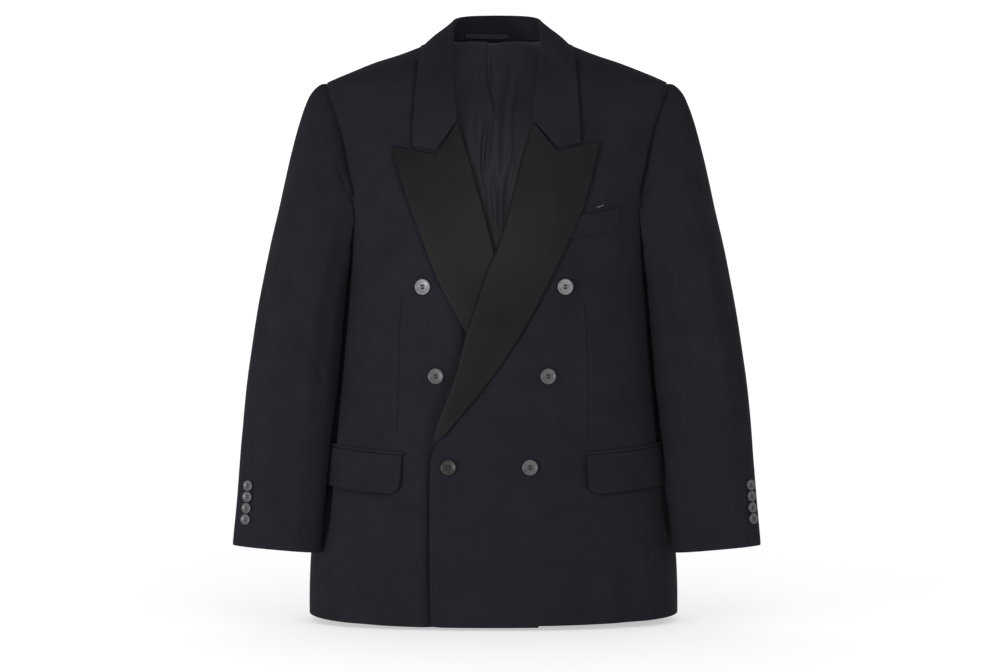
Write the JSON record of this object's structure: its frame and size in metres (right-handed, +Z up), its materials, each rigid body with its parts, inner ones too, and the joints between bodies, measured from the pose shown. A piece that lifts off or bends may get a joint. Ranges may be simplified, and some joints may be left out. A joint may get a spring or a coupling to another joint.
{
  "type": "tuxedo jacket",
  "caption": "Double-breasted dinner jacket in black wool with satin peak lapels, flap pockets and a breast welt, filled out in its hollow worn form.",
  "frame": {"origin": "in the neck opening, level with the neck ends of the shoulder seams and midway between the sleeves, where the wearer's shoulders carry the jacket", "axes": "+Z up, -Y the way that the jacket faces, +X towards the wearer's left"},
  "size_m": [0.6746, 0.2535, 0.7933],
  "materials": {
    "wool": "black wool with a fine plain weave",
    "satin": "black silk satin",
    "lining": "black twill lining",
    "button": "dark grey resin, four sewing holes"
  },
  "bodies": {
    "root": {"back_left": "wool", "back_lining": "lining", "back_right": "wool", "breast_welt": "wool", "button_fastened": "button", "button_left_low": "button", "button_left_middle": "button", "button_left_top": "button", "button_right_middle": "button", "button_right_top": "button", "collar": "wool", "cuff_button_left_1": "button", "cuff_button_left_2": "button", "cuff_button_left_3": "button", "cuff_button_left_4": "button", "cuff_button_right_1": "button", "cuff_button_right_2": "button", "cuff_button_right_3": "button", "cuff_button_right_4": "button", "flap_left": "wool", "flap_right": "wool", "front_left": "wool", "front_right": "wool", "hanger_loop": "wool", "jetting_left": "wool", "jetting_right": "wool", "lapel_left": "satin", "lapel_right": "satin", "side_left": "wool", "side_right": "wool", "sleeve_under_left": "wool", "sleeve_under_right": "wool", "sleeve_upper_left": "wool", "sleeve_upper_right": "wool"}
  },
  "joints": []
}
